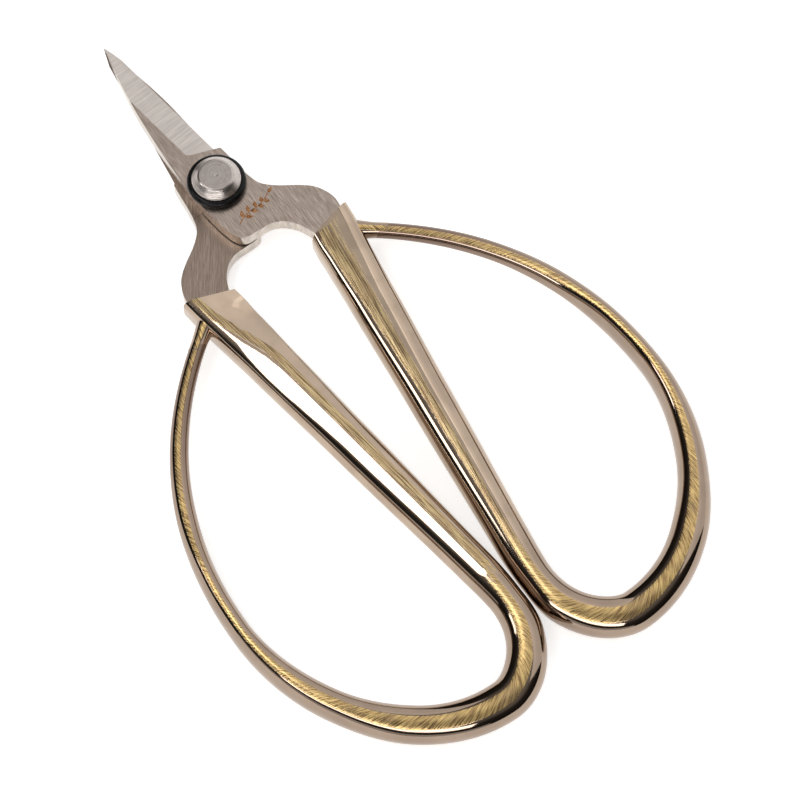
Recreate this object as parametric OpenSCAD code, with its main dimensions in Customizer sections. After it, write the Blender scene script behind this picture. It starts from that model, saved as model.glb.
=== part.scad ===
// Floral snips: two forged steel blades on one rivet, with cast loop handles.
// Z = 0 is the surface the closed snips lie on, +Y runs to the tip, and the
// pivot's axis is the Z axis. The upper blade crosses to the handle on +X.

/* [Blades] */
// Pivot axis to the blades' tip
blade_reach = 44.4; // [34:0.2:56]
// Width of a blade at its root
blade_w = 11; // [9:0.2:13]
// Thickness of each blade's steel
stock = 3.7; // [2.6:0.1:4.4]
// Middle line of the blades to the outer edge of the boss
boss_half = 7; // [6.6:0.1:9]
// Middle of the boss to the end of the ground bevel
bevel_start = 8.6; // [8:0.1:12]
// Slant of the bevel's end across the blade
bevel_slant = 19; // [0:1:30]
// Distance of the bevel's ridge from the cutting edge
bevel_w = 6.6; // [4:0.1:9]
// Depth of the relief on each shank's inner face
relief = 0.25; // [0.1:0.05:0.6]
// Pivot axis to the step where that relief starts
relief_start = 2.8; // [1:0.1:8]
// Gap between the two blades' inner faces
blade_gap = 0.04; // [0.02:0.01:0.1]

/* [Shanks] */
// How far forward of the collar's middle the pivot lies
shank_reach = 21.6; // [20:0.1:26]
// How far sideways of the pivot the collar's middle lies
shank_splay = 15.8; // [13:0.1:19]
// Width of the shank where it enters the handle
shank_w = 8.5; // [7.5:0.1:9.5]
// Width of the tang inside the handle
tang_w = 6.4; // [4:0.1:8]
// Length of the tang inside the handle
tang_len = 13; // [6:0.5:20]

/* [Rivet and ring] */
// How far the pivot lies off the blades' middle line, towards the upper boss
pivot_side = 0.65; // [0:0.1:1]
// How far the pivot lies behind the boss's middle
pivot_back = 0.35; // [0:0.05:1]
// Diameter of the rivet's shaft
shaft_d = 6; // [4:0.1:7]
// Radial running clearance of the moving blade on the shaft
shaft_clearance = 0.05; // [0.02:0.01:0.1]
// Diameter of the flat top of the rivet's head
head_top_d = 7.6; // [6:0.1:9]
// Diameter of the head's rim
head_rim_d = 10.8; // [9.6:0.1:13]
// Height of the head above the ring
head_h = 2.3; // [1.6:0.1:3]
// Diameter of the flat tail that holds the lower blade
tail_d = 8.4; // [7:0.1:9]
// Thickness of the ring's round section
ring_section = 2; // [1.4:0.1:2.6]
// Outer diameter of the ring
ring_d = 13.1; // [12.2:0.1:15]
// Gap between the ring and the moving blade
ring_gap = 0.1; // [0.05:0.01:0.2]
// How much the neck stretches the ring, on the radius
ring_stretch = 0.1; // [0.05:0.01:0.2]

/* [Handles] */
// Pivot axis to the far end of the handles
handle_reach = 135.4; // [110:0.2:165]
// Middle plane to the outer side of a loop
loop_half = 55.1; // [44:0.1:68]
// Height of the handles
handle_h = 9; // [8.4:0.1:11]
// Width of the handle at its collar
collar_w = 10.9; // [9:0.1:13]
// Width of the straight bar at its far end
bar_w = 8.2; // [6:0.1:10]
// Width of the handle where the two handles meet
meet_w = 7.5; // [6:0.1:9]
// Width of the loop at its heel
heel_w = 8.8; // [7:0.1:11]
// Height of the loop at its heel
heel_h = 8.2; // [7:0.1:9]
// Width of the loop at its outer side
strap_w = 4.7; // [3.6:0.1:6]
// Width of the wire that runs back to the collar
wire_w = 3.4; // [2.6:0.1:5]
// Height of that wire
wire_h = 3.9; // [2.6:0.1:6]
// How far the wire lies above the handle's middle where it joins the collar
wire_lift = 1; // [0:0.1:1.6]
// Gap between the two handles when closed
handle_gap = 0.3; // [0.2:0.05:1]
// Length of the bar's end, down to the heel's lowest point
heel_depth = 27; // [22:0.2:34]
// Height of the turn into the heel above the heel's lowest point
turn_rise = 9.4; // [8:0.2:12]
// Slope of that turn
turn_angle = 67; // [60:1:75]
// Middle plane to the lowest point of the loop's centre line
heel_x = 16.8; // [14:0.2:21]
// Heel to the loop's widest point
loop_rise = 43.4; // [36:0.2:52]
// Angle of the collar's end face to the X axis
collar_angle = 15.5; // [0:0.5:25]
// Collar's middle to the wire's end, along X
wire_side = 6.5; // [5.8:0.1:9]
// Collar's middle to the wire's end, down Y
wire_drop = 6.4; // [5:0.1:9]
// Slope of the wire where it joins the collar
wire_angle = 37; // [25:0.5:50]

/* [Hidden] */
$fn = 96;
steps = 4;                       // curve points between two chosen points
sides = 20;                      // points around a handle's section
far = 200;                       // longer than anything that is cut
mid_z = handle_h / 2;
half_w = blade_w / 2;
shank_shift = 0.4;               // the shank's end lies this much inward of the collar's middle
collar = [shank_splay, -shank_reach];
shaft_r = shaft_d / 2;
neck_r = ring_d / 2 - ring_section + ring_stretch;
ring_z = mid_z + stock + ring_gap + ring_section / 2;
head_z = ring_z + ring_section / 2;
lower_face_z = mid_z - stock;

// ---------- curves ----------

function mix(a, b, t) = a + (b - a) * t;
function unit(v) = v / norm(v);
function power_sign(v, e) = sign(v) * pow(abs(v), e);

// One point of the smooth curve that runs from b to c.
function through(a, b, c, d, t) =
    0.5 * (2 * b + (c - a) * t + (2 * a - 5 * b + 4 * c - d) * t * t
           + (3 * b - 3 * c + d - a) * t * t * t);

// A smooth open curve through chosen points, without its last point.
function curve(p) = [
    for (i = [0 : len(p) - 2], k = [0 : steps - 1])
        through(p[max(i - 1, 0)], p[i], p[i + 1], p[min(i + 2, len(p) - 1)], k / steps)
];

function bezier(p, t) =
    p[0] * pow(1 - t, 3) + 3 * p[1] * t * pow(1 - t, 2) + 3 * p[2] * t * t * (1 - t) + p[3] * pow(t, 3);
function bezier_slope(p, t) =
    (p[1] - p[0]) * pow(1 - t, 2) + 2 * (p[2] - p[1]) * t * (1 - t) + (p[3] - p[2]) * t * t;

// ---------- blade ----------

// Chosen points in shares of the blade's half width and reach.
function on_blade(p) = [p[0] * half_w, p[1] * blade_reach];
// Chosen points in shares of the shank's splay and reach.
function on_shank(p) = [p[0] * shank_splay, -p[1] * shank_reach];

cutting_edge = [for (p = [[0, 1], [0.16, 0.94], [0.42, 0.835], [0.68, 0.69], [0.88, 0.53],
                          [1.04, 0.36], [1.13, 0.21]]) on_blade(p)];
spine = [for (p = [[-0.98, 0.04], [-0.96, 0.17], [-0.9, 0.295], [-0.82, 0.42], [-0.72, 0.55],
                   [-0.59, 0.66], [-0.44, 0.76], [-0.26, 0.87], [-0.1, 0.945], [0, 1]]) on_blade(p)];
boss_side = [[boss_half - 0.7, bevel_start - 1.85], [boss_half - 0.4, 4.5], [boss_half, 0.5],
             [boss_half + 0.6, -3.3]];

// The shank ends on the collar's slanted end face, a little nearer its inner side.
collar_along = [cos(collar_angle), sin(collar_angle)];
outer_end = collar + (shank_w / 2 - shank_shift) * collar_along;
inner_end = collar - (shank_w / 2 + shank_shift) * collar_along;
outer_shank = concat(
    [for (p = [[0.545, 0.27], [0.71, 0.385], [0.95, 0.505], [1.115, 0.61], [1.21, 0.73]]) on_shank(p)],
    [outer_end + [0.2, 2.4], outer_end]);
inner_shank = concat(
    [inner_end, inner_end + [-0.8, 1.9]],
    [for (p = [[0.615, 0.885], [0.545, 0.815], [0.46, 0.755], [0.365, 0.718], [0.27, 0.7],
               [0.055, 0.695], [-0.05, 0.692], [-0.14, 0.67], [-0.195, 0.62], [-0.245, 0.53],
               [-0.3, 0.305]]) on_shank(p)]);

// The bar's centre line runs from the collar to the turn into the heel.
heel_y = -(handle_reach - heel_w / 2);
meet_x = (meet_w + handle_gap) / 2;
bar_end = [meet_x + 0.9, heel_y + heel_depth];
bar_dir = unit(bar_end - collar);

module blade_outline() {
    polygon(concat(curve(cutting_edge), [cutting_edge[len(cutting_edge) - 1]],
                   curve(concat(boss_side, outer_shank)), [outer_shank[len(outer_shank) - 1]],
                   curve(concat(inner_shank, spine))));
}

// The tang is the end of the shank that the handle is cast around.
module tang() {
    translate([collar[0], collar[1], blade_gap / 2])
        rotate([0, 0, atan2(bar_dir[1], bar_dir[0])])
            translate([-tang_w / 2, -tang_w / 2, 0])
                cube([tang_len + tang_w / 2, tang_w, stock - blade_gap / 2]);
}

// The bevel falls from its ridge on the outer face to the cutting edge.
module bevel_cut() {
    edge_low = on_blade([1.0, 0.245]);
    edge_high = on_blade([0.42, 0.775]);
    edge_dir = edge_high - edge_low;
    intersection() {
        translate([edge_low[0], edge_low[1], 0])
            rotate([0, 0, atan2(edge_dir[1], edge_dir[0])])
                rotate([atan2(stock, bevel_w), 0, 0])
                    translate([-far / 2, -far / 2, 0])
                        cube([far, far, far]);
        translate([0, 0, -far / 2])
            linear_extrude(far)
                bevel_region();
    }
}

// The grinding wheel leaves a round corner where the bevel ends at the boss.
module bevel_region() {
    corner_r = 2.4;
    corner_x = -1.4;
    middle = [corner_x + corner_r, bevel_start + corner_r];
    arc_end = 270 - bevel_slant;
    arc = [for (k = [0 : 6]) let (t = mix(180, arc_end, k / 6)) middle + corner_r * [cos(t), sin(t)]];
    polygon(concat([[-far, middle[1]]], arc,
                   [arc[6] + far * [cos(bevel_slant), -sin(bevel_slant)], [far, far], [-far, far]]));
}

// The upper blade about its own mating plane.
module blade_half() {
    difference() {
        union() {
            translate([0, 0, blade_gap / 2])
                linear_extrude(stock - blade_gap / 2)
                    blade_outline();
            tang();
        }
        bevel_cut();
        translate([-far / 2, -far - relief_start, -relief])
            cube([far, far, 2 * relief + blade_gap / 2]);
    }
}

// The blades and handles are drawn about their middle line, then set on the pivot.
module on_pivot() {
    translate([-pivot_side, pivot_back, mid_z])
        children();
}

module bore(r) {
    translate([0, 0, -far / 2])
        cylinder(r = r, h = far);
}

module upper_blade() {
    color([0.62, 0.59, 0.56])
        difference() {
            on_pivot()
                blade_half();
            bore(shaft_r + shaft_clearance);
        }
}

module lower_blade() {
    color([0.55, 0.52, 0.5])
        difference() {
            on_pivot()
                rotate([0, 180, 0])
                    blade_half();
            bore(shaft_r);
        }
}

// ---------- handles ----------

turn = [meet_x + 1.3, heel_y + turn_rise];
turn_dir = [cos(turn_angle), -sin(turn_angle)];
heel = [heel_x, heel_y];
side = [loop_half - strap_w / 2, heel_y + loop_rise];
join = collar + [wire_side, -wire_drop];
wire_dir = [cos(wire_angle), -sin(wire_angle)];

// The centre line is a straight bar, the turn at its end, and three curves round the loop.
loop_path = [
    [collar, mix(collar, bar_end, 1 / 3), mix(collar, bar_end, 2 / 3), bar_end],
    [bar_end, bar_end + bar_dir * 7, turn - turn_dir * 4.5, turn],
    [turn, turn + turn_dir * turn_rise * 0.68, heel - [heel_x * 0.24, 0], heel],
    [heel, heel + [(side[0] - heel_x) * 0.575, 0], side - [0, loop_rise * 0.47], side],
    [side, side + [0, (join[1] - side[1]) * 0.345], join + wire_dir * (side[0] - join[0]) * 0.955, join]
];

// Station number on the path, then width, height and squareness there.
sections = [
    [0.00, collar_w, handle_h - 0.3, 4.5],
    [0.08, collar_w, handle_h - 0.1, 4],
    [0.25, mix(collar_w, bar_w, 0.12), handle_h, 3.2],
    [0.55, mix(collar_w, bar_w, 0.45), handle_h, 2.5],
    [1.00, bar_w, handle_h, 2.3],
    [1.50, meet_w, handle_h, 2.3],
    [2.00, mix(meet_w, heel_w, 0.65), handle_h, 2.3],
    [2.50, heel_w, mix(handle_h, heel_h, 0.7), 2.3],
    [3.00, heel_w, heel_h, 2.3],
    [3.35, mix(heel_w, strap_w, 0.2), mix(handle_h, heel_h, 0.8), 2.3],
    [3.60, mix(heel_w, strap_w, 0.56), handle_h, 2.3],
    [4.00, strap_w, handle_h, 2.3],
    [4.20, mix(strap_w, wire_w, 0.1), handle_h - 0.7, 2.2],
    [4.42, mix(strap_w, wire_w, 0.15), mix(handle_h, wire_h, 0.65), 2.1],
    [4.65, mix(strap_w, wire_w, 0.5), wire_h + 0.5, 2.1],
    [5.00, wire_w, wire_h, 2.1]
];
section_w = [for (s = sections) [s[0], s[1]]];
section_h = [for (s = sections) [s[0], s[2]]];
section_n = [for (s = sections) [s[0], s[3]]];
lift = [[4, 0], [5, wire_lift]];

// A ring of points at a place, across a direction, for one station's section.
function ring(at, across, u, stretch) =
    let (a = lookup(u, section_w) / 2 * stretch, b = lookup(u, section_h) / 2, e = 2 / lookup(u, section_n))
    [for (k = [0 : sides - 1])
        let (c = power_sign(cos(k * 360 / sides), e), s = power_sign(sin(k * 360 / sides), e))
        [at[0] + across[0] * a * c, at[1] + across[1] * a * c, b * s + lookup(u, lift)]];

function ring_at(u) =
    let (i = min(floor(u), len(loop_path) - 1), d = unit(bezier_slope(loop_path[i], u - i)))
    ring(bezier(loop_path[i], u - i), [-d[1], d[0]], u, 1);

module sweep(rings) {
    last = len(rings) - 1;
    polyhedron(
        points = [for (r = rings) each r],
        faces = concat(
            [[for (k = [0 : sides - 1]) k]],
            [for (i = [0 : last - 1], k = [0 : sides - 1])
                let (a = i * sides + k, b = i * sides + (k + 1) % sides)
                each [[a, a + sides, b], [b, a + sides, b + sides]]],
            [[for (k = [sides - 1 : -1 : 0]) last * sides + k]]));
}

// The whole loop, from the collar's slanted end face round to the wire's end.
module loop() {
    slant = 1 / abs(cross(collar_along, bar_dir));
    sweep(concat([ring(collar, collar_along, 0, slant)],
                 [for (k = [2 : 16]) ring_at(k / 16)],
                 [for (k = [1 : 16]) ring_at(1 + k / 8)],
                 [for (k = [1 : 32]) ring_at(3 + k / 16)]));
}

// The wire's end swells a little where it is cast into the collar.
module wire_root() {
    inward = [wire_dir[1], -wire_dir[0]];
    sweep([for (s = [[0.8, 0.9], [0, 1.08], [-1.2, 1.25], [-2.4, 1.25]])
        [for (p = ring(join + wire_dir * wire_w * s[0], inward, 5, s[1]))
            [p[0], p[1], mix(wire_lift, p[2], s[1])]]]);
}

module handle_body() {
    union() {
        loop();
        wire_root();
    }
}

module right_handle() {
    color([0.5, 0.4, 0.27])
        on_pivot()
            difference() {
                handle_body();
                tang();
            }
}

module left_handle() {
    color([0.5, 0.4, 0.27])
        on_pivot()
            difference() {
                mirror([1, 0, 0])
                    handle_body();
                rotate([0, 180, 0])
                    tang();
            }
}

// ---------- pivot ----------

// The head has a flat top, a stepped cone and a short straight rim.
module pivot_rivet() {
    rim_h = 0.55;
    step = 0.2;
    top_r = head_top_d / 2;
    rim_r = head_rim_d / 2;
    cone_h = head_h - rim_h;
    top_z = head_z + head_h;
    color([0.75, 0.73, 0.71])
        rotate_extrude()
            polygon([
                [0, 0], [tail_d / 2, 0], [tail_d / 2, lower_face_z],
                [shaft_r, lower_face_z], [shaft_r, mid_z + stock + blade_gap],
                [neck_r, mid_z + stock + blade_gap], [neck_r, head_z],
                [rim_r - step, head_z], [rim_r, head_z + step], [rim_r, head_z + rim_h],
                [mix(top_r, rim_r, 0.6), head_z + rim_h + cone_h * 0.35],
                [mix(top_r, rim_r, 0.5), head_z + rim_h + cone_h * 0.38],
                [top_r, top_z - step], [top_r - step, top_z], [0, top_z]
            ]);
}

module tension_ring() {
    color([0.05, 0.05, 0.05])
        translate([0, 0, ring_z])
            rotate_extrude()
                translate([(ring_d - ring_section) / 2, 0])
                    circle(d = ring_section, $fn = 48);
}

upper_blade();
lower_blade();
right_handle();
left_handle();
pivot_rivet();
tension_ring();
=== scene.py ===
# %% [markdown]
# # Floral snips with cast loop handles
# Two steel blades turn on one rivet, and a bronze loop handle is cast around each blade's tang.
# The working model already holds every size, so it is loaded first as a fixed frame and all the
# finished pieces are built on it. Nothing below moves or resizes it.

# %% Load the frame
import math

import bmesh
import bpy
from mathutils import Matrix, Vector


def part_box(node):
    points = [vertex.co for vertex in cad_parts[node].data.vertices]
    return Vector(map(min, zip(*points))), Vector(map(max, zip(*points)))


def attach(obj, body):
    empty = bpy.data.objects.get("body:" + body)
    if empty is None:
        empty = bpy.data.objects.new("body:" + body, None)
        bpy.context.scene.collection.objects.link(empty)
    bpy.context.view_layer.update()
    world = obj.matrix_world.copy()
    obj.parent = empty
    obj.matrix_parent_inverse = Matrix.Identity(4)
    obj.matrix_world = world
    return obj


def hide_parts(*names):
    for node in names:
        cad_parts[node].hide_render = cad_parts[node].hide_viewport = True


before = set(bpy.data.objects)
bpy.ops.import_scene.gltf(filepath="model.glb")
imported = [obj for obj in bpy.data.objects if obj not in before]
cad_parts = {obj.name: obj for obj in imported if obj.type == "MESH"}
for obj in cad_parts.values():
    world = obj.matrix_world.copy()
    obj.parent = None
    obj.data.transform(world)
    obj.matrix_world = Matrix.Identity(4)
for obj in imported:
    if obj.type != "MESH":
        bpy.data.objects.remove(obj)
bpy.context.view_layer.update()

# %% [markdown]
# ## Driving sizes
# A maker would read these off the working model. Lengths are in millimetres until a mesh is made,
# because every size of hand tool is thought of in millimetres. The blades and handles are drawn
# about the middle line between the halves, and the pivot lies a little to one side of it.

# %% Read the driving sizes
MM = 0.001
pivot_side = 0.65
pivot_back = 0.35


def box_mm(node):
    """The lowest and highest corners of one node, in millimetres."""
    low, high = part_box(node)
    return low / MM, high / MM


handle_low, handle_high = box_mm("right_handle")
blade_high = box_mm("upper_blade")[1]
ring_low, ring_high = box_mm("tension_ring")
rivet_high = box_mm("pivot_rivet")[1]
handle_h = handle_high.z
mid_z = handle_h / 2
blade_reach = blade_high.y - pivot_back
handle_reach = pivot_back - handle_low.y
loop_half = handle_high.x + pivot_side
stock = blade_high.z - mid_z
blade_w = 11
print("blade reach", round(blade_reach, 2), "handle reach", round(handle_reach, 2))


def placed(x, y, z):
    """A point of the drawing, in millimetres from the middle plane, as a place in the frame."""
    return Vector((x - pivot_side, y + pivot_back, z + mid_z)) * MM


# %% [markdown]
# ## Camera and studio
# The snips lie on a backlit white table, as a maker photographs small tools. Polished metal shows
# what stands around it, so the lights are placed for their reflections. Three narrow boxes on the
# left draw one white streak each: round the heels, down the left bar and down the right bar. A low
# wall fills the outer flanks, a tall wall on the right fills the bevel and the ground flat, and a
# box overhead lights the steel. The air between them stays dark and gives the metal its black bands.

# %% Place the camera
camera_data = bpy.data.cameras.new("camera")
camera_data.lens = 132.91
camera_data.sensor_width = 36
camera_data.clip_start = 0.01
camera_data.clip_end = 20
camera = bpy.data.objects.new("camera", camera_data)
bpy.context.scene.collection.objects.link(camera)
bpy.context.scene.camera = camera


def aim(obj, place, target, up):
    """Stand obj at place, looking at target, with up towards the top of its view."""
    forward = (target - place).normalized()
    right = forward.cross(up).normalized()
    above = right.cross(forward)
    obj.matrix_world = Matrix((
        (right.x, above.x, -forward.x, place.x),
        (right.y, above.y, -forward.y, place.y),
        (right.z, above.z, -forward.z, place.z),
        (0, 0, 0, 1),
    ))


aim(camera, Vector((-140.22, -265.54, 582.99)) * MM, Vector((3.65, -63.81, 4.5)) * MM,
    Vector((0.5807, 0.8141, 0)))

# %% Lay the table and set the lights
middle = Vector((0.003, -0.045, 0.005))


def node_maker(tree):
    """A short way to add a node with its settings and inputs."""
    def add(kind, settings=None, **inputs):
        node = tree.nodes.new(kind)
        for name, value in (settings or {}).items():
            setattr(node, name, value)
        for name, value in inputs.items():
            node.inputs[name.replace("_", " ")].default_value = value
        return node
    return add


def light_table():
    """A white sheet lit from below, so the shadows on it stay faint."""
    bpy.ops.mesh.primitive_circle_add(vertices=96, radius=1.6, fill_type="NGON")
    table = bpy.context.object
    table.name = "light_table"
    white = bpy.data.materials.new("table_white")
    white.use_nodes = True
    surface = white.node_tree.nodes["Principled BSDF"]
    surface.inputs["Base Color"].default_value = (0.8, 0.8, 0.8, 1)
    surface.inputs["Roughness"].default_value = 0.9
    surface.inputs["Specular IOR Level"].default_value = 0.1
    surface.inputs["Emission Color"].default_value = (1, 1, 1, 1)
    surface.inputs["Emission Strength"].default_value = 0.62
    table.data.materials.append(white)


def soft_box(name, azimuth, elevation, distance, width, height, brightness):
    """A flat light that faces the snips. Brightness is what a mirror would show of it."""
    data = bpy.data.lights.new(name, "AREA")
    data.shape = "RECTANGLE"
    data.size = width
    data.size_y = height
    data.energy = brightness * math.pi * width * height
    box = bpy.data.objects.new(name, data)
    bpy.context.scene.collection.objects.link(box)
    turn, rise = math.radians(azimuth), math.radians(elevation)
    level = distance * math.cos(rise)
    offset = Vector((level * math.cos(turn), level * math.sin(turn), distance * math.sin(rise)))
    aim(box, middle + offset, middle, Vector((0, 0, 1)))
    box.visible_camera = False


def room():
    """Grey air overhead, dark near the table's edge, and a pale backdrop for the camera."""
    world = bpy.data.worlds.new("studio")
    bpy.context.scene.world = world
    world.use_nodes = True
    tree = world.node_tree
    tree.nodes.clear()
    add = node_maker(tree)
    way = add("ShaderNodeTexCoord")
    split = add("ShaderNodeSeparateXYZ")
    rise = add("ShaderNodeValToRGB")
    low_air, high_air = rise.color_ramp.elements
    low_air.position = 0.14
    low_air.color = (0.015, 0.014, 0.013, 1)
    high_air.position = 0.8
    high_air.color = (0.34, 0.33, 0.32, 1)
    middle_air = rise.color_ramp.elements.new(0.5)
    middle_air.color = (0.04, 0.038, 0.036, 1)
    air = add("ShaderNodeBackground")
    backdrop = add("ShaderNodeBackground", Strength=0.95)
    seen = add("ShaderNodeLightPath")
    both = add("ShaderNodeMixShader")
    out = add("ShaderNodeOutputWorld")
    link = tree.links.new
    link(way.outputs["Generated"], split.inputs[0])
    link(split.outputs["Z"], rise.inputs[0])
    link(rise.outputs[0], air.inputs[0])
    link(seen.outputs["Is Camera Ray"], both.inputs[0])
    link(air.outputs[0], both.inputs[1])
    link(backdrop.outputs[0], both.inputs[2])
    link(both.outputs[0], out.inputs[0])


light_table()
room()
soft_box("heel_streak_box", 222, 31, 0.6, 0.76, 0.14, 5.0)
soft_box("left_streak_box", 152, 65, 0.6, 0.24, 0.15, 5.0)
soft_box("right_streak_box", 150, 30, 0.6, 0.16, 0.12, 5.0)
soft_box("low_wall", 216, 4, 0.9, 2.1, 0.24, 0.62)
soft_box("right_wall", 12, 26, 0.7, 1.4, 0.85, 1.0)
soft_box("top_box", 60, 75, 0.9, 0.8, 0.6, 0.46)
bpy.context.scene.view_settings.view_transform = "Standard"

# %% [markdown]
# ## Smooth curves and lofted rings
# Each outline is drawn as a draughtsman would, with few chosen points and a smooth curve through
# them. The handles are lofts: a closed section is carried along a centre line made of Bezier arcs,
# and its width, height and squareness change from station to station.

# %% Curve helpers
def through(a, b, c, d, t):
    """One point of the smooth curve that runs from b to c."""
    return tuple(
        0.5 * (2 * q + (r - p) * t + (2 * p - 5 * q + 4 * r - s) * t * t
               + (3 * q - 3 * r + s - p) * t ** 3)
        for p, q, r, s in zip(a, b, c, d))


def curve(points, steps=10):
    """A smooth open curve through chosen points, without its last point."""
    last = len(points) - 1
    return [
        through(points[max(i - 1, 0)], points[i], points[i + 1], points[min(i + 2, last)], k / steps)
        for i in range(last) for k in range(steps)]


def mix(a, b, t):
    """The value a share t of the way from a to b."""
    return a + (b - a) * t


def ease(low, high, value):
    """0 below low, 1 above high, and a smooth step between."""
    t = min(max((value - low) / (high - low), 0), 1)
    return t * t * (3 - 2 * t)


def bezier(arc, t):
    """A point of one Bezier arc."""
    return (arc[0] * (1 - t) ** 3 + arc[1] * 3 * t * (1 - t) ** 2
            + arc[2] * 3 * t * t * (1 - t) + arc[3] * t ** 3)


def bezier_slope(arc, t):
    """The way that arc runs at that point."""
    return ((arc[1] - arc[0]) * (1 - t) ** 2 + (arc[2] - arc[1]) * 2 * t * (1 - t)
            + (arc[3] - arc[2]) * t * t)


def read_off(rows, column, u):
    """A value from a table of stations, eased between its rows so that no station shows."""
    for low, high in zip(rows, rows[1:]):
        if u <= high[0]:
            t = (u - low[0]) / (high[0] - low[0])
            return mix(low[column], high[column], mix(t, t * t * (3 - 2 * t), 0.5))
    return rows[-1][column]


# %% [markdown]
# ## Handle shape
# A real handle is one casting: a square collar that grips the blade's tang, a straight bar that
# grows rounder towards the heel, a flat strap round the outside and a thin wire back to the collar.
# A loft along the centre line keeps that flow in one skin. The left bar's crest was ground to a
# ridge between two flats, which is cut here by limiting each point's height.

# %% Lay out the handle's centre line and sections
collar_w = 10.9
bar_w = 8.2
meet_w = 7.5
heel_w = 8.8
heel_h = 8.2
strap_w = 4.7
wire_w = 3.4
wire_h = 3.9
wire_lift = 1
handle_gap = 0.3
collar_angle = math.radians(15.5)
shank_splay = 15.8
shank_reach = 21.6
turn_rise = 9.4
side_rise = 43.4
turn_angle = math.radians(67)
wire_angle = math.radians(37)

heel_y = -(handle_reach - heel_w / 2)
meet_x = (meet_w + handle_gap) / 2
collar = Vector((shank_splay, -shank_reach))
bar_end = Vector((meet_x + 0.9, heel_y + 27))
bar_dir = (bar_end - collar).normalized()
turn = Vector((meet_x + 1.3, heel_y + turn_rise))
turn_dir = Vector((math.cos(turn_angle), -math.sin(turn_angle)))
heel = Vector((16.8, heel_y))
side = Vector((loop_half - strap_w / 2, heel_y + side_rise))
join = collar + Vector((6.5, -6.4))
wire_dir = Vector((math.cos(wire_angle), -math.sin(wire_angle)))
loop_path = [
    [collar, collar.lerp(bar_end, 1 / 3), collar.lerp(bar_end, 2 / 3), bar_end],
    [bar_end, bar_end + bar_dir * 7, turn - turn_dir * 4.5, turn],
    [turn, turn + turn_dir * turn_rise * 0.68, heel - Vector((heel.x * 0.24, 0)), heel],
    [heel, heel + Vector(((side.x - heel.x) * 0.575, 0)), side - Vector((0, side_rise * 0.47)), side],
    [side, side + Vector((0, (join.y - side.y) * 0.345)),
     join + wire_dir * (side.x - join.x) * 0.955, join],
]
# Station on the path, then width, height and squareness there.
sections = [
    [0.00, collar_w, handle_h - 0.3, 4.2],
    [0.08, collar_w, handle_h - 0.1, 3.4],
    [0.25, mix(collar_w, bar_w, 0.12), handle_h, 2.5],
    [0.55, mix(collar_w, bar_w, 0.45), handle_h, 2.0],
    [1.00, bar_w, handle_h, 1.9],
    [1.50, meet_w, handle_h, 1.9],
    [2.00, mix(meet_w, heel_w, 0.65), handle_h, 1.95],
    [2.50, heel_w, mix(handle_h, heel_h, 0.7), 2.0],
    [3.00, heel_w, heel_h, 2.0],
    [3.35, mix(heel_w, strap_w, 0.2), mix(handle_h, heel_h, 0.8), 2.0],
    [3.60, mix(heel_w, strap_w, 0.56), handle_h, 2.0],
    [4.00, strap_w, handle_h, 2.0],
    [4.20, mix(strap_w, wire_w, 0.1), handle_h - 0.7, 2.0],
    [4.42, mix(strap_w, wire_w, 0.15), mix(handle_h, wire_h, 0.65), 2.0],
    [4.65, mix(strap_w, wire_w, 0.5), wire_h + 0.5, 2.0],
    [5.00, wire_w, wire_h, 2.0],
]


# Points around a section, and stations along each arc of the path.
SIDES = 96
STEPS = 90


def ground_height(u, across, half_wide, half_high):
    """How high the ground crest lets a point stand: two flats that meet in a ridge.

    The ridge starts at the collar's outer corner and comes to the middle a third along the bar.
    The flats rise out of the section, and so end, before the heel.
    """
    ridge = mix(0.85, 0.02, ease(0, 0.3, u))
    outer = math.tan(math.radians(17))
    inner = math.tan(math.radians(mix(9, 18, ease(0.03, 0.12, u))))
    slope = outer if across > ridge else inner
    return half_high - slope * half_wide * abs(across - ridge) + 3 * ease(1.1, 1.9, u)


def section_point(u, angle, ground=False, stretch=1.0):
    """Offset across the centre line and height of one point of a station's section."""
    half_wide = read_off(sections, 1, u) / 2 * stretch
    half_high = read_off(sections, 2, u) / 2
    power = 2 / read_off(sections, 3, u)
    c, s = math.cos(angle), math.sin(angle)
    across = math.copysign(abs(c) ** power, c)
    height = half_high * math.copysign(abs(s) ** power, s)
    if ground:
        limit = ground_height(u, across, half_wide, half_high)
        height = max(min(height, limit), -limit)
    lift = wire_lift * max(u - 4, 0)
    return half_wide * across, height + lift


def stations():
    """Closer together where the section or the path changes fast."""
    first = [0.0, 0.015, 0.035, 0.06]
    bar = [0.1 + k * 0.9 / STEPS for k in range(STEPS)]
    return first + bar + [1 + k / STEPS for k in range(4 * STEPS + 1)]


def loft_rings(ground):
    """Rings of (place, height, length along, offset across), from the collar round to the wire's end."""
    rings = []
    along = 0.0
    before = None
    across_end = Vector((math.cos(collar_angle), math.sin(collar_angle)))
    slant = 1 / abs(across_end.cross(bar_dir))
    for u in stations():
        arc = min(int(u), 4)
        at = bezier(loop_path[arc], u - arc)
        direction = bezier_slope(loop_path[arc], u - arc).normalized()
        across = Vector((-direction.y, direction.x))
        stretch = 1.0
        blend = 1 - ease(0.0, 0.1, u)
        if blend > 0:
            across = (across.lerp(across_end, blend)).normalized()
            stretch = mix(1, slant, blend)
        if before is not None:
            along += (at - before).length
        before = at
        ring = []
        for k in range(SIDES):
            offset, height = section_point(u, 2 * math.pi * k / SIDES, ground, stretch)
            ring.append((at + across * offset, height, along, offset))
        rings.append(ring)
    return rings


def skin(bm, rings, closed_start=True, closed_end=True):
    """Faces between rings of points that are already vertices."""
    count = len(rings[0])
    for a, b in zip(rings, rings[1:]):
        for k in range(count):
            n = (k + 1) % count
            bm.faces.new((a[k], b[k], b[n], a[n]))
    if closed_start:
        bm.faces.new(rings[0])
    if closed_end:
        bm.faces.new(list(reversed(rings[-1])))


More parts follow.
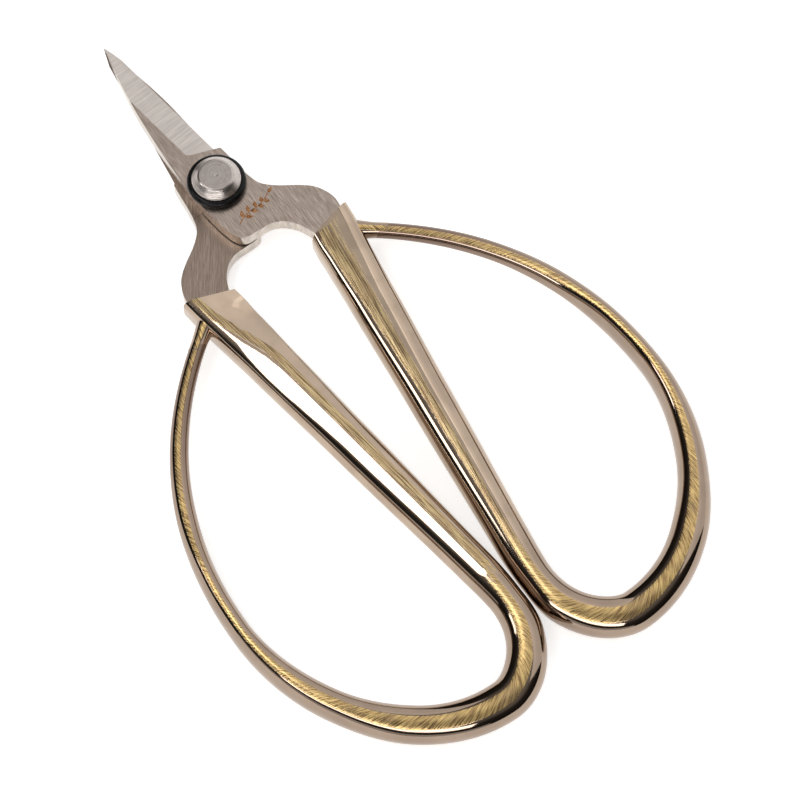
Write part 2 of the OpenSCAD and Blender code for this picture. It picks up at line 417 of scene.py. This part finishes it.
def finished(name, bm, body, replaced=(), crease=35):
    """Turn a bmesh into a named piece that rides on its body."""
    bmesh.ops.recalc_face_normals(bm, faces=bm.faces)
    mesh = bpy.data.meshes.new(name)
    bm.to_mesh(mesh)
    bm.free()
    for polygon in mesh.polygons:
        polygon.use_smooth = True
    mesh.set_sharp_from_angle(angle=math.radians(crease))
    piece = bpy.data.objects.new(name, mesh)
    bpy.context.scene.collection.objects.link(piece)
    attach(piece, body)
    if replaced:
        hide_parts(*replaced)
    print(name, "faces", len(mesh.polygons))
    return piece


def loop_handle(name, mirror, ground, body, replaced):
    """One cast handle. Its straightened-out position is kept on the mesh for the brushed finish."""
    bm = bmesh.new()
    laid = bm.verts.layers.float_vector.new("laid")
    rings = []
    for ring in loft_rings(ground):
        row = []
        for at, height, along, offset in ring:
            vert = bm.verts.new(placed(mirror * at.x, at.y, height))
            vert[laid] = (along, mirror * offset, height)
            row.append(vert)
        rings.append(row)
    skin(bm, rings)
    wire_root(bm, laid, mirror)
    return finished(name, bm, body, [replaced], crease=40)


# %% [markdown]
# Where the wire meets the collar the casting swells into a small root, with a web in the corner
# that the polishing wheel never reached.

# %% Add the wire's root
def wire_root(bm, laid, mirror):
    """A short stub that flares into the collar's flank."""
    inward = Vector((wire_dir.y, -wire_dir.x))
    steps, sides = 12, 40
    full_length = 200
    rows = []
    for k in range(steps + 1):
        t = k / steps
        back = mix(1.1, -1.9, t)
        swell = 1.0 + 0.36 * ease(0.15, 1.0, t)
        at = join + wire_dir * wire_w * back
        row = []
        for n in range(sides):
            offset, height = section_point(5, 2 * math.pi * n / sides)
            height = mix(wire_lift, height, swell)
            place = at - inward * offset * swell
            vert = bm.verts.new(placed(mirror * place.x, place.y, height))
            vert[laid] = (full_length - back * wire_w, offset, height)
            row.append(vert)
        rows.append(row)
    skin(bm, rows)


right_loop = loop_handle("right_loop", 1, False, "upper_half", "right_handle")
left_loop = loop_handle("left_loop", -1, True, "lower_half", "left_handle")

# %% [markdown]
# ## Blade shape
# Each blade is cut from flat bar, with its shank, boss and blade in one piece. One side of the blade
# is ground down to the cutting edge, and the wheel leaves a rounded corner at the boss. Here the
# outline is raised as a slab, and the grinding is done as it is on the bench: a cutter takes the
# bevel off, then a finer one takes the narrow honed edge, and last all edges are broken slightly.

# %% Draw the blade's outline
half_w = blade_w / 2
boss_half = 7
bevel_start = 8.6
bevel_slant = 19
bevel_w = 6.6
blade_gap = 0.04
relief_depth = 0.25
relief_start = 2.8
shaft_r = 3.0
upper_bore_r = 3.05
edge_break = 0.16
shank_w = 8.5
shank_shift = 0.4
end_line = Vector((math.cos(collar_angle), math.sin(collar_angle)))
outer_end = collar + end_line * (shank_w / 2 - shank_shift)
inner_end = collar - end_line * (shank_w / 2 + shank_shift)


def on_blade(points):
    """Shares of the blade's half width and reach, as places."""
    return [(x * half_w, y * blade_reach) for x, y in points]


def on_shank(points):
    """Shares of the collar's place beside and behind the pivot, as places."""
    return [(x * shank_splay, -y * shank_reach) for x, y in points]


cutting_edge = on_blade([(0, 1), (0.16, 0.94), (0.42, 0.835), (0.68, 0.69), (0.88, 0.53),
                         (1.04, 0.36), (1.13, 0.21)])
spine = on_blade([(-0.98, 0.04), (-0.96, 0.17), (-0.9, 0.295), (-0.82, 0.42), (-0.72, 0.55),
                  (-0.59, 0.66), (-0.44, 0.76), (-0.26, 0.87), (-0.1, 0.945), (0, 1)])
boss_side = [(boss_half - 0.7, bevel_start - 1.85), (boss_half - 0.4, 4.5), (boss_half, 0.5),
             (boss_half + 0.6, -3.3)]
outer_shank = on_shank([(0.545, 0.27), (0.71, 0.385), (0.95, 0.505), (1.115, 0.61), (1.21, 0.73)])
outer_shank += [(outer_end.x + 0.2, outer_end.y + 2.4), tuple(outer_end)]
inner_shank = [tuple(inner_end), (inner_end.x - 0.8, inner_end.y + 1.9)]
inner_shank += on_shank([(0.615, 0.885), (0.545, 0.815), (0.46, 0.755), (0.365, 0.718), (0.27, 0.7),
                         (0.055, 0.695), (-0.05, 0.692), (-0.14, 0.67), (-0.195, 0.62),
                         (-0.245, 0.53), (-0.3, 0.305)])
outline = (curve(cutting_edge) + [cutting_edge[-1]] + curve(boss_side + outer_shank)
           + [outer_shank[-1]] + curve(inner_shank + spine))
print("outline points", len(outline))


# %% Raise slabs and cutters
def raw_piece(name, bm):
    """A bmesh as an object that is still in millimetres."""
    bmesh.ops.recalc_face_normals(bm, faces=bm.faces)
    mesh = bpy.data.meshes.new(name)
    bm.to_mesh(mesh)
    bm.free()
    piece = bpy.data.objects.new(name, mesh)
    bpy.context.scene.collection.objects.link(piece)
    return piece


def slab(name, points, low, high):
    """A flat plate of any outline, in millimetres."""
    bm = bmesh.new()
    rings = [[bm.verts.new((x, y, z)) for x, y in points] for z in (low, high)]
    skin(bm, rings)
    return raw_piece(name, bm)


def cut(piece, cutter, operation="DIFFERENCE"):
    """Apply one boolean and throw the cutter away."""
    change = piece.modifiers.new("cut", "BOOLEAN")
    change.operation = operation
    change.solver = "EXACT"
    change.object = cutter
    with bpy.context.temp_override(object=piece, active_object=piece):
        bpy.ops.object.modifier_apply(modifier="cut")
    bpy.data.objects.remove(cutter)


def bevel_wedge():
    """What the grinding wheel removes: all that lies above the bevel's plane, up to the boss."""
    corner_r = 2.4
    centre = (corner_r - 1.4, bevel_start + corner_r)
    slant = math.radians(bevel_slant)
    steps = 12
    arc = []
    for k in range(steps + 1):
        t = math.radians(mix(180, 270 - bevel_slant, k / steps))
        arc.append((centre[0] + corner_r * math.cos(t), centre[1] + corner_r * math.sin(t)))
    reach = 60
    region = [(-reach, centre[1]), *arc,
              (arc[-1][0] + reach * math.cos(slant), arc[-1][1] - reach * math.sin(slant)),
              (reach, reach + 40), (-reach, reach + 40)]
    wedge = slab("wedge", region, -20, 20)
    low = Vector(on_blade([(1.0, 0.245)])[0])
    high = Vector(on_blade([(0.42, 0.775)])[0])
    run = (high - low).normalized()
    inward = Vector((-run.y, run.x))
    rise = stock / bevel_w
    bm = bmesh.new()
    far = 150
    bottom = []
    for a, b in ((-far, -far), (-far, far), (far, far), (far, -far)):
        place = low + run * a + inward * b
        bottom.append(bm.verts.new((place.x, place.y, b * rise)))
    top = [bm.verts.new((v.co.x, v.co.y, 2 * far)) for v in bottom]
    skin(bm, [bottom, top])
    half_space = raw_piece("half_space", bm)
    cut(wedge, half_space, "INTERSECT")
    return wedge


def honed_edge():
    """A thin cutter along the whole cutting edge, which leaves the narrow steeper facet."""
    width, depth = 0.42, 0.5
    land, clear = 0.12, 0.6
    points = curve(cutting_edge, 6) + [cutting_edge[-1]]
    bm = bmesh.new()
    rings = []
    for i, point in enumerate(points):
        ahead = Vector(points[min(i + 1, len(points) - 1)])
        behind = Vector(points[max(i - 1, 0)])
        run = (ahead - behind).normalized()
        inward = Vector((run.y, -run.x))
        at = Vector(point)
        grown = ease(0, 3, i)
        rows = [at + inward * width * grown * 2, at - inward * clear, at - inward * clear]
        heights = [depth * 2 * grown + land, land - depth * 0.9, depth * 2 + 1.5]
        rings.append([bm.verts.new((p.x, p.y, h)) for p, h in zip(rows, heights)])
    skin(bm, rings)
    return raw_piece("hone", bm)


def round_bar(radius, low, high, at=(0, 0)):
    """A cylinder cutter, in the drawing's millimetres."""
    sides = 96
    ring = []
    for k in range(sides):
        t = 2 * math.pi * k / sides
        ring.append((at[0] + radius * math.cos(t), at[1] + radius * math.sin(t)))
    return slab("round_bar", ring, low, high)


# %% Cut both blades
def blade_blank(bore_r, turned):
    """A ground blade about its own mating plane. A turned blade has its pivot on the other side."""
    blank = slab("blank", outline, blade_gap / 2, stock)
    cut(blank, bevel_wedge())
    cut(blank, honed_edge())
    far, start = 60, -relief_start
    behind = [(-far, -far), (far, -far), (far, start), (-far, start)]
    cut(blank, slab("relief", behind, -1, relief_depth))
    pivot_x = -pivot_side if turned else pivot_side
    cut(blank, round_bar(bore_r, -5, 10, (pivot_x, -pivot_back)))
    return blank


def turned_over(bm):
    """Half a turn about the blade's length."""
    for vert in bm.verts:
        vert.co.x = -vert.co.x
        vert.co.z = -vert.co.z


def break_edges(piece, width):
    """Take a hair off every sharp edge, so that it catches the light."""
    soften = piece.modifiers.new("broken_edges", "BEVEL")
    soften.width = width * MM
    soften.segments = 2
    soften.limit_method = "ANGLE"
    soften.angle_limit = math.radians(24)
    soften.use_clamp_overlap = True
    soften.harden_normals = True


def blade(name, bore_r, turned, body, replaced):
    """One finished blade, put in its place in the frame."""
    blank = blade_blank(bore_r, turned)
    bm = bmesh.new()
    bm.from_mesh(blank.data)
    bpy.data.objects.remove(blank)
    if turned:
        turned_over(bm)
    for vert in bm.verts:
        vert.co = placed(*vert.co)
    bmesh.ops.remove_doubles(bm, verts=bm.verts, dist=0.00001)
    piece = finished(name, bm, body, [replaced], crease=24)
    break_edges(piece, edge_break)
    return piece


upper_cutter = blade("upper_cutter", upper_bore_r, False, "upper_half", "upper_blade")
lower_cutter = blade("lower_cutter", shaft_r, True, "lower_half", "lower_blade")

# %% [markdown]
# ## Rivet and ring
# The rivet is turned on a lathe: a flat top, a coarse stepped cone where the tool was fed by hand,
# and a bright rim. Turning a profile about the axis is how Blender makes it too. The rubber ring
# under the head is a round section with the small nub that its mould leaves.

# %% Turn the rivet
def lathe(name, profile, body, replaced, turns=144, crease=28):
    """Turn a profile of (radius, height) about the pivot's axis, in millimetres."""
    bm = bmesh.new()
    rows = []
    for radius, height in profile:
        row = []
        for k in range(turns):
            t = 2 * math.pi * k / turns
            row.append(bm.verts.new(Vector((radius * math.cos(t), radius * math.sin(t), height)) * MM))
        rows.append(row)
    skin(bm, rows)
    return finished(name, bm, body, [replaced], crease)


head_z = ring_high.z
top_z = rivet_high.z
rim_r = 5.4
top_r = 3.8
neck_r = 4.65
tail_r = 4.2
lower_face_z = mid_z - stock


def head_profile():
    """The head from the ring up: rim, feed steps up the cone, and a softly rounded flat top."""
    points = [(neck_r, head_z), (rim_r - 0.25, head_z), (rim_r - 0.07, head_z + 0.06),
              (rim_r, head_z + 0.22), (rim_r - 0.02, head_z + 0.42), (rim_r - 0.12, head_z + 0.53)]
    steps = 5
    start = Vector((rim_r - 0.2, head_z + 0.58))
    cone = Vector((top_r + 0.14, top_z - 0.22)) - start
    for k in range(steps):
        low = start + cone * (k / steps)
        high = start + cone * ((k + 1) / steps)
        out = 0.05 if k < 3 else 0.02
        points.append((low.x + out, low.y + 0.04))
        points.append((mix(low.x, high.x, 0.45) + out, mix(low.y, high.y, 0.62)))
        points.append((high.x + 0.07, high.y - 0.015))
    points += [(top_r + 0.05, top_z - 0.13), (top_r - 0.06, top_z - 0.04), (top_r - 0.2, top_z)]
    points += [(top_r * k / 6, top_z) for k in (5, 4, 3, 2, 1)]
    points += [(0.35, top_z), (0.22, top_z - 0.05), (0.05, top_z - 0.1)]
    return points


rivet_profile = [(0.05, 0.02), (tail_r - 0.15, 0.02), (tail_r, 0.17), (tail_r, lower_face_z),
                 (shaft_r, lower_face_z), (shaft_r, mid_z + stock + blade_gap),
                 (neck_r, mid_z + stock + blade_gap), *head_profile()]
turned_rivet = lathe("turned_rivet", rivet_profile, "lower_half", "pivot_rivet")

# %% Mould the ring
def moulded_ring():
    """A rubber ring of round section, with its parting-line nub."""
    turns, sides = 160, 32
    section_r = (ring_high.z - ring_low.z) / 2
    centre_r = ring_high.x - section_r
    centre_z = (ring_low.z + ring_high.z) / 2
    nub_at = math.radians(-28)
    bm = bmesh.new()
    rows = []
    for k in range(turns):
        t = 2 * math.pi * k / turns
        away = abs((t - nub_at + math.pi) % (2 * math.pi) - math.pi)
        nub = 0.22 * math.exp(-((away / 0.05) ** 2))
        row = []
        for n in range(sides):
            s = 2 * math.pi * n / sides
            swell = section_r * 0.97 + nub * max(math.cos(s), 0) * 0.25
            radius = centre_r + swell * math.cos(s)
            row.append(bm.verts.new(Vector((radius * math.cos(t), radius * math.sin(t),
                                            centre_z + section_r * math.sin(s))) * MM))
        rows.append(row)
    rows.append(rows[0])
    skin(bm, rows, False, False)
    return finished("rubber_ring", bm, "lower_half", ["tension_ring"])


rubber_ring = moulded_ring()

# %% [markdown]
# ## Etched sprig
# A small leaf sprig is etched on the shank by laser, which tints the steel orange-brown. It is a
# plain decoration. The etch is so thin that each leaf is a sheet a hundredth of a millimetre proud.

# %% Etch the sprig
def sprig():
    """A wavy stem with four pairs of leaves and one at the tip."""
    bm = bmesh.new()
    top = stock + 0.012
    low = stock - 0.02

    def sheet(points):
        """A thin plate that stands a hair proud of the shank."""
        rings = [[bm.verts.new(placed(x, y, z)) for x, y in points] for z in (low, top)]
        skin(bm, rings)

    def leaf(root, angle, length, width):
        """A leaf that is widest past its middle and pointed at both ends."""
        run = Vector((math.cos(angle), math.sin(angle)))
        away = Vector((-run.y, run.x))
        steps = 12
        shares = [k / steps for k in range(steps + 1)]
        middles = [root + run * length * t for t in shares]
        halves = [away * width * math.sin(math.pi * t ** 0.8) for t in shares]
        left = [at + half for at, half in zip(middles, halves)]
        right = [at - half for at, half in zip(middles, halves)]
        sheet(left + right[-2:0:-1])

    start, end = Vector((-1.0, -11.6)), Vector((8.4, -8.6))
    run = (end - start).normalized()
    away = Vector((-run.y, run.x))
    heading = math.atan2(run.y, run.x)
    steps = 16
    shares = [k / steps for k in range(steps + 1)]
    stem = [start.lerp(end, t) + away * 0.45 * math.sin(2 * math.pi * t) for t in shares]
    sheet([p + away * 0.12 for p in stem] + [p - away * 0.12 for p in reversed(stem)])
    for k in range(4):
        root = stem[3 + 3 * k]
        size = 1.9 - 0.22 * k
        leaf(root + away * 0.14, heading + 0.85, size, 0.48)
        leaf(root + run * 0.5 - away * 0.14, heading - 0.85, size, 0.48)
    leaf(end + run * 0.1, heading + 0.1, 1.6, 0.42)
    return finished("etched_sprig", bm, "upper_half")


etched_sprig = sprig()

# %% [markdown]
# ## Steel
# Stainless bar brushed on a belt has fine scratches all one way, and its sheen stretches across
# them. Noise squeezed along one direction gives the scratches, and it drives the roughness and a
# very small bump as well as the tone. The bevel is ground across the blade and comes out lighter.

# %% Steel finishes
def metal(name, rough, tone, metallic=1.0):
    """A metal surface with its node tree, ready for its detail."""
    material = bpy.data.materials.new(name)
    material.use_nodes = True
    tree = material.node_tree
    surface = tree.nodes["Principled BSDF"]
    surface.inputs["Metallic"].default_value = metallic
    surface.inputs["Roughness"].default_value = rough
    surface.inputs["Base Color"].default_value = (*tone, 1)
    return material, tree, surface, node_maker(tree)


def scratches(tree, add, source, turn_deg, fine, long, detail=3):
    """Lines of noise that run along one direction in the plane, 0 to 1."""
    turned = add("ShaderNodeMapping")
    turned.inputs["Rotation"].default_value = (0, 0, math.radians(turn_deg))
    squeeze = add("ShaderNodeVectorMath", {"operation": "MULTIPLY"})
    squeeze.inputs[1].default_value = (fine, long, long)
    noise = add("ShaderNodeTexNoise", Scale=1.0, Detail=detail, Roughness=0.6)
    tree.links.new(source, turned.inputs["Vector"])
    tree.links.new(turned.outputs[0], squeeze.inputs[0])
    tree.links.new(squeeze.outputs[0], noise.inputs["Vector"])
    return noise.outputs["Fac"]


def ranged(tree, add, value, low, high, to_low, to_high):
    """Stretch a value's middle range to new ends."""
    node = add("ShaderNodeMapRange", {"interpolation_type": "SMOOTHSTEP"})
    node.inputs["From Min"].default_value = low
    node.inputs["From Max"].default_value = high
    node.inputs["To Min"].default_value = to_low
    node.inputs["To Max"].default_value = to_high
    tree.links.new(value, node.inputs["Value"])
    return node.outputs[0]


def blended(tree, add, factor, first, second):
    """A colour between two, by a factor. Each may be a fixed colour or another node's output."""
    node = add("ShaderNodeMix", {"data_type": "RGBA"})
    tree.links.new(factor, node.inputs["Factor"])
    for socket, colour in ((node.inputs[6], first), (node.inputs[7], second)):
        if isinstance(colour, tuple):
            socket.default_value = (*colour, 1)
        else:
            tree.links.new(colour, socket)
    return node.outputs[2]


def bumped(tree, add, surface, height, distance):
    """Raise a surface by up to distance millimetres."""
    bump = add("ShaderNodeBump", Strength=1.0, Distance=distance * MM)
    tree.links.new(height, bump.inputs["Height"])
    tree.links.new(bump.outputs[0], surface.inputs["Normal"])


def brushed_steel(name, turn_deg, dark, light, rough, fine=9, long=0.35, depth=0.012):
    """Belt-brushed steel. fine is lines per millimetre across, long is how soon they end."""
    material, tree, surface, add = metal(name, rough, light)
    place = add("ShaderNodeTexCoord").outputs["Object"]
    lines = scratches(tree, add, place, turn_deg, fine / MM, long / MM)
    broad = scratches(tree, add, place, turn_deg, 1.2 / MM, 0.12 / MM, 2)
    tone = blended(tree, add, ranged(tree, add, lines, 0.36, 0.64, 0, 1), dark, light)
    softer = blended(tree, add, ranged(tree, add, broad, 0.3, 0.75, 0, 0.55), tone, dark)
    tree.links.new(softer, surface.inputs["Base Color"])
    tree.links.new(ranged(tree, add, lines, 0.25, 0.75, rough - 0.07, rough + 0.09),
                   surface.inputs["Roughness"])
    bumped(tree, add, surface, lines, depth)
    return material


upper_steel = brushed_steel("upper_steel", 0, (0.32, 0.255, 0.215), (0.66, 0.555, 0.49), 0.33)
lower_steel = brushed_steel("lower_steel", 35, (0.27, 0.205, 0.165), (0.44, 0.35, 0.295), 0.34)
bevel_steel = brushed_steel("bevel_steel", 70, (0.46, 0.415, 0.385), (0.63, 0.575, 0.535), 0.36,
                            fine=4.2, long=0.1, depth=0.016)
wall_steel = brushed_steel("wall_steel", 90, (0.46, 0.4, 0.345), (0.64, 0.57, 0.5), 0.2,
                           fine=3, long=0.3, depth=0.004)


# %% Give each face of a blade its finish
def finish_blade(piece, flat):
    """Flats are belt-brushed, ground faces lean, and the walls are only wiped bright."""
    for material in (flat, bevel_steel, wall_steel):
        piece.data.materials.append(material)
    for polygon in piece.data.polygons:
        rise = abs(polygon.normal.z)
        polygon.material_index = 0 if rise > 0.97 else 1 if rise > 0.5 else 2


finish_blade(upper_cutter, upper_steel)
finish_blade(lower_cutter, lower_steel)

# %% Turned steel, rubber and etch
def turned_steel():
    """Rings left by the lathe tool: noise that depends on the radius alone."""
    material, tree, surface, add = metal("turned_steel", 0.3, (0.52, 0.47, 0.44))
    place = add("ShaderNodeTexCoord").outputs["Object"]
    split = add("ShaderNodeSeparateXYZ")
    radius = add("ShaderNodeVectorMath", {"operation": "LENGTH"})
    flat = add("ShaderNodeVectorMath", {"operation": "MULTIPLY"})
    flat.inputs[1].default_value = (1, 1, 0)
    joined = add("ShaderNodeCombineXYZ")
    noise = add("ShaderNodeTexNoise", Scale=7 / MM, Detail=3, Roughness=0.7)
    link = tree.links.new
    link(place, flat.inputs[0])
    link(flat.outputs[0], radius.inputs[0])
    link(place, split.inputs[0])
    link(radius.outputs["Value"], joined.inputs[0])
    link(split.outputs["Z"], joined.inputs[2])
    link(joined.outputs[0], noise.inputs["Vector"])
    lines = noise.outputs["Fac"]
    cloud = add("ShaderNodeTexNoise", Scale=0.8 / MM, Detail=4)
    link(place, cloud.inputs["Vector"])
    tone = blended(tree, add, ranged(tree, add, lines, 0.3, 0.7, 0, 1),
                   (0.42, 0.37, 0.345), (0.6, 0.545, 0.515))
    worn = blended(tree, add, ranged(tree, add, cloud.outputs["Fac"], 0.4, 0.7, 0, 0.4), tone,
                   (0.36, 0.31, 0.29))
    link(worn, surface.inputs["Base Color"])
    link(ranged(tree, add, lines, 0.25, 0.75, 0.2, 0.36), surface.inputs["Roughness"])
    bumped(tree, add, surface, lines, 0.012)
    return material


def black_rubber():
    """Moulded rubber is nearly black, with a faint bloom that breaks up its gloss."""
    material, tree, surface, add = metal("black_rubber", 0.3, (0.012, 0.012, 0.013), 0.0)
    place = add("ShaderNodeTexCoord").outputs["Object"]
    surface.inputs["Specular IOR Level"].default_value = 0.18
    bloom = add("ShaderNodeTexNoise", Scale=1.1 / MM, Detail=5)
    tree.links.new(place, bloom.inputs["Vector"])
    tone = blended(tree, add, ranged(tree, add, bloom.outputs["Fac"], 0.4, 0.75, 0, 1),
                   (0.0025, 0.002, 0.002), (0.007, 0.0065, 0.006))
    tree.links.new(tone, surface.inputs["Base Color"])
    tree.links.new(ranged(tree, add, bloom.outputs["Fac"], 0.3, 0.7, 0.2, 0.38),
                   surface.inputs["Roughness"])
    bumped(tree, add, surface, bloom.outputs["Fac"], 0.01)
    return material


def laser_etch():
    """Heat-tinted steel, speckled where the beam pulsed."""
    material, tree, surface, add = metal("laser_etch", 0.5, (0.3, 0.15, 0.07), 0.6)
    place = add("ShaderNodeTexCoord").outputs["Object"]
    speck = add("ShaderNodeTexNoise", Scale=3.2 / MM, Detail=3)
    tree.links.new(place, speck.inputs["Vector"])
    tone = blended(tree, add, ranged(tree, add, speck.outputs["Fac"], 0.38, 0.6, 0, 1),
                   (0.22, 0.08, 0.025), (0.46, 0.24, 0.11))
    tree.links.new(tone, surface.inputs["Base Color"])
    bumped(tree, add, surface, speck.outputs["Fac"], 0.01)
    return material


turned_rivet.data.materials.append(turned_steel())
rubber_ring.data.materials.append(black_rubber())
etched_sprig.data.materials.append(laser_etch())

# %% [markdown]
# ## Antique bronze
# The castings are plated dark bronze and polished, then the crest is brushed back to bright brass
# with a scouring pad. So there are two metals in one finish: smooth dark bronze on the flanks, and
# scratched golden brass on top, with brown patina left between the scratches. The mask follows the
# way a surface faces, and is broken up by the same scratches, so that its edge is ragged.

# %% Antique bronze finish
def antique_bronze(name):
    """Dark bronze and scratched brass, mixed by the marks that are stored on the casting."""
    material, tree, surface, add = metal(name, 0.1, (0.43, 0.33, 0.26))
    laid = add("ShaderNodeAttribute", {"attribute_name": "laid"}).outputs["Vector"]
    rub = add("ShaderNodeAttribute", {"attribute_name": "rub"}).outputs["Fac"]
    slope = add("ShaderNodeAttribute", {"attribute_name": "slope"}).outputs["Fac"]
    aged = add("ShaderNodeAttribute", {"attribute_name": "aged"}).outputs["Fac"]
    link = tree.links.new

    straight = scratches(tree, add, laid, 90, 5.0, 0.12)
    crossed = scratches(tree, add, laid, 52, 5.0, 0.22)
    pick = add("ShaderNodeMix", {"data_type": "FLOAT"})
    link(slope, pick.inputs["Factor"])
    link(straight, pick.inputs[2])
    link(crossed, pick.inputs[3])
    stroke = pick.outputs[0]
    patch = add("ShaderNodeTexNoise", Scale=0.16, Detail=3)
    link(laid, patch.inputs["Vector"])

    def total(first, second, amount):
        """The first value, plus a share of the second."""
        node = add("ShaderNodeMath", {"operation": "MULTIPLY_ADD"})
        link(second, node.inputs[0])
        node.inputs[1].default_value = amount
        link(first, node.inputs[2])
        return node.outputs[0]

    ragged = total(total(rub, stroke, 0.5), patch.outputs["Fac"], 0.3)
    worn = ranged(tree, add, ragged, 0.82, 1.05, 0, 1)
    deep = blended(tree, add, slope, (0.13, 0.08, 0.045), (0.3, 0.19, 0.09))
    bright = blended(tree, add, slope, (0.6, 0.46, 0.25), (0.86, 0.62, 0.27))
    brass = blended(tree, add, ranged(tree, add, stroke, 0.36, 0.62, 0, 1), deep, bright)
    cloudy = blended(tree, add, ranged(tree, add, patch.outputs["Fac"], 0.45, 0.7, 0, 0.6), brass,
                     (0.36, 0.25, 0.14))
    bronze = blended(tree, add, ranged(tree, add, patch.outputs["Fac"], 0.35, 0.65, 0, 1),
                     (0.4, 0.31, 0.235), (0.46, 0.36, 0.275))
    browner = blended(tree, add, aged, bronze, (0.2, 0.14, 0.11))
    link(blended(tree, add, worn, browner, cloudy), surface.inputs["Base Color"])
    rough = add("ShaderNodeMix", {"data_type": "FLOAT"})
    link(worn, rough.inputs["Factor"])
    link(ranged(tree, add, straight, 0.3, 0.7, 0.05, 0.1), rough.inputs[2])
    link(ranged(tree, add, stroke, 0.3, 0.7, 0.2, 0.36), rough.inputs[3])
    link(rough.outputs[0], surface.inputs["Roughness"])
    height = add("ShaderNodeMath", {"operation": "MULTIPLY"})
    link(worn, height.inputs[0])
    link(stroke, height.inputs[1])
    bumped(tree, add, surface, height.outputs[0], 0.035)
    return material


# %% [markdown]
# The pad met the crest most squarely, so what faces it is rubbed, and more widely at the heels and
# straps. On the left bar it ran along a strip beside the ridge. The wires were left browner.

# %% Mark where the pad rubbed
def mark_rubbing(piece, strip=None):
    """Store on each point how much it was rubbed, how its strokes slant and how brown it is."""
    tilt = math.radians(13)
    pad_way = Vector((-0.9 * math.sin(tilt), -0.44 * math.sin(tilt), math.cos(tilt)))
    fully, hardly = 8, 19
    mesh = piece.data
    rub = mesh.attributes.new("rub", "FLOAT", "POINT")
    slope = mesh.attributes.new("slope", "FLOAT", "POINT")
    aged = mesh.attributes.new("aged", "FLOAT", "POINT")
    laid = mesh.attributes["laid"]
    longest = max(point.vector.x for point in laid.data)
    for index, vert in enumerate(mesh.vertices):
        along, across, _ = laid.data[index].vector
        past_bar = ease(75, 100, along)
        at_heel = ease(70, 100, along)
        normal = Vector((vert.normal.x, vert.normal.y, abs(vert.normal.z)))
        faced = math.degrees(math.acos(max(-1, min(1, normal.dot(pad_way)))))
        wider = 9 * at_heel
        amount = 1 - ease(fully + wider, hardly + wider, faced)
        if strip is not None:
            beside = abs(across - mix(-3.2, strip, ease(0, 22, along)))
            amount = mix(1 - ease(0.7, 1.3, beside), amount, past_bar)
        rub.data[index].value = amount
        slope.data[index].value = past_bar
        aged.data[index].value = 0.45 * at_heel + 0.55 * ease(0.8, 0.97, along / longest)


mark_rubbing(right_loop)
mark_rubbing(left_loop, strip=0.95)
for loop in (right_loop, left_loop):
    loop.data.materials.append(antique_bronze(loop.name + "_bronze"))
